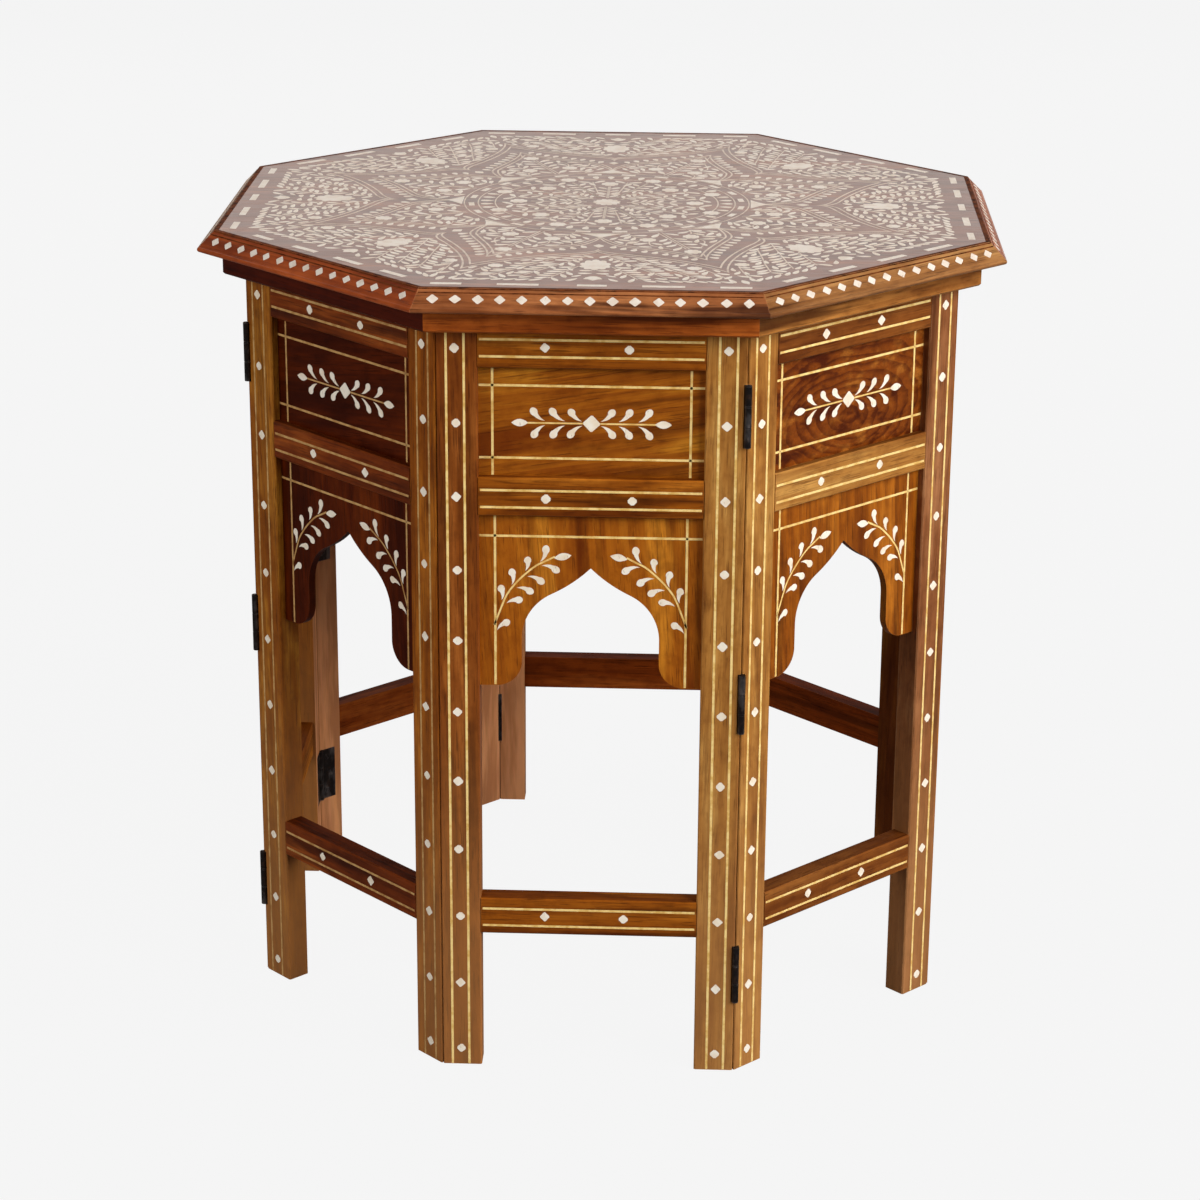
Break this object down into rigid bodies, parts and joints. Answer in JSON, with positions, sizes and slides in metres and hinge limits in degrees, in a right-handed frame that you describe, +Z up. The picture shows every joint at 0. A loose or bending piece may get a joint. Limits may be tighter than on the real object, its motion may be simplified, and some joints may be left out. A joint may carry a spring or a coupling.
{
  "type": "folding table",
  "caption": "Octagonal wooden side table with a lift-off inlaid top on a hinged ring of arched frame panels that folds flat.",
  "frame": {"origin": "on the floor under the centre of the table", "axes": "+Z up, the front panel faces -Y, +X to its right seen from outside"},
  "size_m": [0.5, 0.5, 0.508],
  "materials": {
    "frame_wood": "satin varnish",
    "board_wood": "satin varnish",
    "top_wood": "satin varnish with bone inlay",
    "hinge_iron": "blackened"
  },
  "bodies": {
    "front_panel": {"front_panel_left_leg": "frame_wood", "front_panel_right_leg": "frame_wood", "front_panel_rails": "frame_wood", "front_panel_frieze_board": "board_wood", "front_panel_arch_board": "board_wood", "front_panel_hinge_leaves": "hinge_iron", "front_panel_hinge_pins": "hinge_iron"},
    "front_right_panel": {"front_right_panel_left_leg": "frame_wood", "front_right_panel_right_leg": "frame_wood", "front_right_panel_rails": "frame_wood", "front_right_panel_frieze_board": "board_wood", "front_right_panel_arch_board": "board_wood", "front_right_panel_hinge_leaves": "hinge_iron"},
    "right_panel": {"right_panel_left_leg": "frame_wood", "right_panel_right_leg": "frame_wood", "right_panel_rails": "frame_wood", "right_panel_frieze_board": "board_wood", "right_panel_arch_board": "board_wood", "right_panel_hinge_leaves": "hinge_iron", "right_panel_hinge_pins": "hinge_iron"},
    "back_right_panel": {"back_right_panel_left_leg": "frame_wood", "back_right_panel_right_leg": "frame_wood", "back_right_panel_rails": "frame_wood", "back_right_panel_frieze_board": "board_wood", "back_right_panel_arch_board": "board_wood", "back_right_panel_hinge_leaves": "hinge_iron"},
    "back_panel": {"back_panel_left_leg": "frame_wood", "back_panel_right_leg": "frame_wood", "back_panel_rails": "frame_wood", "back_panel_frieze_board": "board_wood", "back_panel_arch_board": "board_wood", "back_panel_hinge_leaves": "hinge_iron", "back_panel_hinge_pins": "hinge_iron"},
    "back_left_panel": {"back_left_panel_left_leg": "frame_wood", "back_left_panel_right_leg": "frame_wood", "back_left_panel_rails": "frame_wood", "back_left_panel_frieze_board": "board_wood", "back_left_panel_arch_board": "board_wood", "back_left_panel_hinge_leaves": "hinge_iron"},
    "left_panel": {"left_panel_left_leg": "frame_wood", "left_panel_right_leg": "frame_wood", "left_panel_rails": "frame_wood", "left_panel_frieze_board": "board_wood", "left_panel_arch_board": "board_wood", "left_panel_hinge_leaves": "hinge_iron", "left_panel_hinge_pins": "hinge_iron"},
    "front_left_panel": {"front_left_panel_left_leg": "frame_wood", "front_left_panel_right_leg": "frame_wood", "front_left_panel_rails": "frame_wood", "front_left_panel_frieze_board": "board_wood", "front_left_panel_arch_board": "board_wood", "front_left_panel_hinge_leaves": "hinge_iron"},
    "table_top": {"top_board": "top_wood", "top_edge_moulding": "frame_wood", "top_skirt": "frame_wood"}
  },
  "joints": [
    {"name": "front_left_fold", "type": "hinge", "parent": "front_panel", "child": "front_left_panel", "pos_m": [-0.08562, -0.2067, 0.24], "axis": [0, 0, -1], "range_deg": [0, 134]},
    {"name": "left_fold", "type": "hinge", "parent": "front_left_panel", "child": "left_panel", "pos_m": [-0.2225, -0.09216, 0.24], "axis": [0, 0, 1], "range_deg": [0, 221.5]},
    {"name": "back_left_fold", "type": "hinge", "parent": "left_panel", "child": "back_left_panel", "pos_m": [-0.2067, 0.08562, 0.24], "axis": [0, 0, -1], "range_deg": [0, 132.2]},
    {"name": "front_right_fold", "type": "hinge", "parent": "front_panel", "child": "front_right_panel", "pos_m": [0.09216, -0.2225, 0.24], "axis": [0, 0, -1], "range_deg": [0, 44.8]},
    {"name": "right_fold", "type": "hinge", "parent": "front_right_panel", "child": "right_panel", "pos_m": [0.2067, -0.08562, 0.24], "axis": [0, 0, 1], "range_deg": [0, 132.2]},
    {"name": "back_right_fold", "type": "hinge", "parent": "right_panel", "child": "back_right_panel", "pos_m": [0.2225, 0.09216, 0.24], "axis": [0, 0, -1], "range_deg": [0, 221.5]},
    {"name": "back_fold", "type": "hinge", "parent": "back_right_panel", "child": "back_panel", "pos_m": [0.08562, 0.2067, 0.24], "axis": [0, 0, 1], "range_deg": [0, 134.1]},
    {"name": "top_lift", "type": "slide", "parent": "front_panel", "child": "table_top", "axis": [0, 0, 1], "range_m": [0, 0.2]}
  ],
  "couplings": [
    {"joint": "left_fold", "follows": "front_left_fold", "ratio": 1.6519},
    {"joint": "back_left_fold", "follows": "front_left_fold", "ratio": 0.98519},
    {"joint": "front_right_fold", "follows": "front_left_fold", "ratio": 0.33333},
    {"joint": "right_fold", "follows": "front_left_fold", "ratio": 0.98519},
    {"joint": "back_right_fold", "follows": "front_left_fold", "ratio": 1.6519},
    {"joint": "back_fold", "follows": "front_left_fold", "ratio": 1}
  ]
}
